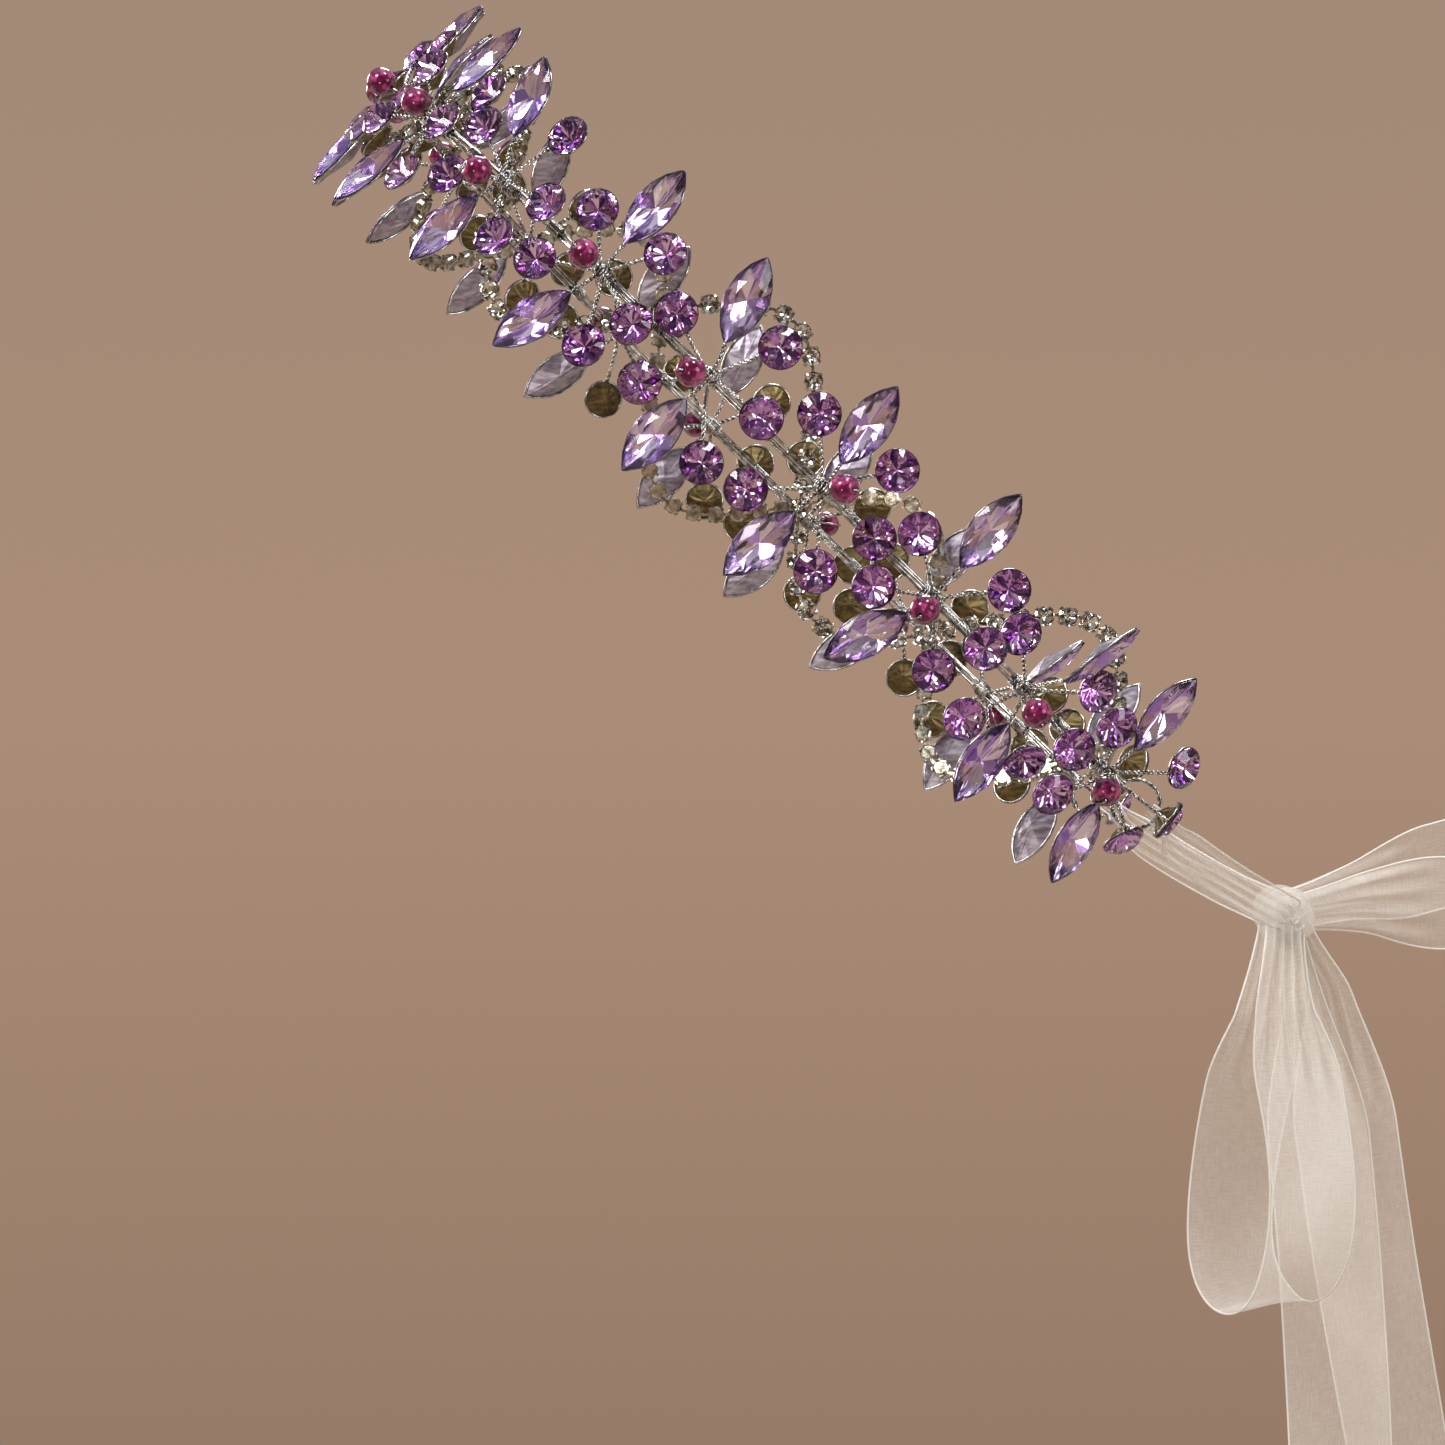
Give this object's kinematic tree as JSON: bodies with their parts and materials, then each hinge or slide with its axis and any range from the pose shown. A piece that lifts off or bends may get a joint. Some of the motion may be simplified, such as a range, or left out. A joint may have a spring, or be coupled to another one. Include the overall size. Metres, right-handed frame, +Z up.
{
  "type": "bridal tiara",
  "caption": "Wired hair vine of faceted stone flowers and a waving crystal chain on a bent spine, tied behind the head with a sheer ribbon bow.",
  "frame": {"origin": "centre of the head loop, midway between the ears and midway from forehead to nape along the loop's plane", "axes": "+Z is up and +X the wearer's left, so -Y is the front of the head; the loop's plane leans back 44.5 degrees, high at the front"},
  "size_m": [0.167, 0.2023, 0.3054],
  "materials": {
    "silver_wire": "bright silver-plated craft wire, twisted in pairs and wound at the hubs",
    "amethyst_stone": "faceted and foil-backed, deep violet with pale flashes",
    "lavender_stone": "faceted, pale lavender and half clear, deeper at the girdle",
    "magenta_bead": "smooth clear glass bead, magenta pink",
    "chain_setting": "polished silver-plated cups",
    "chain_stone": "faceted clear crystal, foil-backed",
    "organza": "sheer ivory organza with a soft shine and woven edges"
  },
  "bodies": {
    "vine": {"flower_01_wire": "silver_wire", "flower_02_wire": "silver_wire", "flower_03_wire": "silver_wire", "flower_04_wire": "silver_wire", "flower_05_wire": "silver_wire", "flower_06_wire": "silver_wire", "flower_07_wire": "silver_wire", "flower_08_wire": "silver_wire", "flower_09_wire": "silver_wire", "flower_10_wire": "silver_wire", "flower_11_wire": "silver_wire", "flower_12_wire": "silver_wire", "flower_13_wire": "silver_wire", "flower_14_wire": "silver_wire", "flower_15_wire": "silver_wire", "flower_16_wire": "silver_wire", "flower_17_wire": "silver_wire", "flower_18_wire": "silver_wire", "flower_19_wire": "silver_wire", "flower_01_round_stones": "amethyst_stone", "flower_02_round_stones": "amethyst_stone", "flower_03_round_stones": "amethyst_stone", "flower_04_round_stones": "amethyst_stone", "flower_05_round_stones": "amethyst_stone", "flower_06_round_stones": "amethyst_stone", "flower_07_round_stones": "amethyst_stone", "flower_08_round_stones": "amethyst_stone", "flower_09_round_stones": "amethyst_stone", "flower_10_round_stones": "amethyst_stone", "flower_11_round_stones": "amethyst_stone", "flower_12_round_stones": "amethyst_stone", "flower_13_round_stones": "amethyst_stone", "flower_14_round_stones": "amethyst_stone", "flower_15_round_stones": "amethyst_stone", "flower_16_round_stones": "amethyst_stone", "flower_17_round_stones": "amethyst_stone", "flower_18_round_stones": "amethyst_stone", "flower_19_round_stones": "amethyst_stone", "navettes_left": "lavender_stone", "navettes_front": "lavender_stone", "navettes_right": "lavender_stone", "beads_left": "magenta_bead", "beads_front": "magenta_bead", "beads_right": "magenta_bead", "spine_wires": "silver_wire", "spine_binding": "silver_wire", "chain_cups": "chain_setting", "chain_stones": "chain_stone", "end_loop_left": "silver_wire", "end_loop_right": "silver_wire"},
    "ribbon_band": {"ribbon_arm_left": "organza", "ribbon_arm_right": "organza", "ribbon_knot": "organza"},
    "low_loop": {"bow_loop_low": "organza"},
    "back_loop": {"bow_loop_back": "organza"},
    "left_tail": {"ribbon_tail_left": "organza"},
    "right_tail": {"ribbon_tail_right": "organza"}
  },
  "joints": [
    {"name": "ribbon_lift", "type": "hinge", "parent": "vine", "child": "ribbon_band", "pos_m": [0, 0.03953, -0.03885], "axis": [1, 0, 0], "range_deg": [0, 60]},
    {"name": "low_loop_swing", "type": "hinge", "parent": "ribbon_band", "child": "low_loop", "pos_m": [0, 0.06484, -0.05586], "axis": [1, 0, 0], "range_deg": [-20, 25], "stiffness_Nm_per_rad": 0.002},
    {"name": "back_loop_swing", "type": "hinge", "parent": "ribbon_band", "child": "back_loop", "pos_m": [0, 0.06484, -0.05586], "axis": [1, 0, 0], "range_deg": [-40, 30], "stiffness_Nm_per_rad": 0.008},
    {"name": "left_tail_swing", "type": "hinge", "parent": "ribbon_band", "child": "left_tail", "pos_m": [0, 0.06484, -0.05586], "axis": [1, 0, 0], "range_deg": [-15, 45]},
    {"name": "right_tail_swing", "type": "hinge", "parent": "ribbon_band", "child": "right_tail", "pos_m": [0, 0.06484, -0.05586], "axis": [1, 0, 0], "range_deg": [-15, 45]}
  ]
}
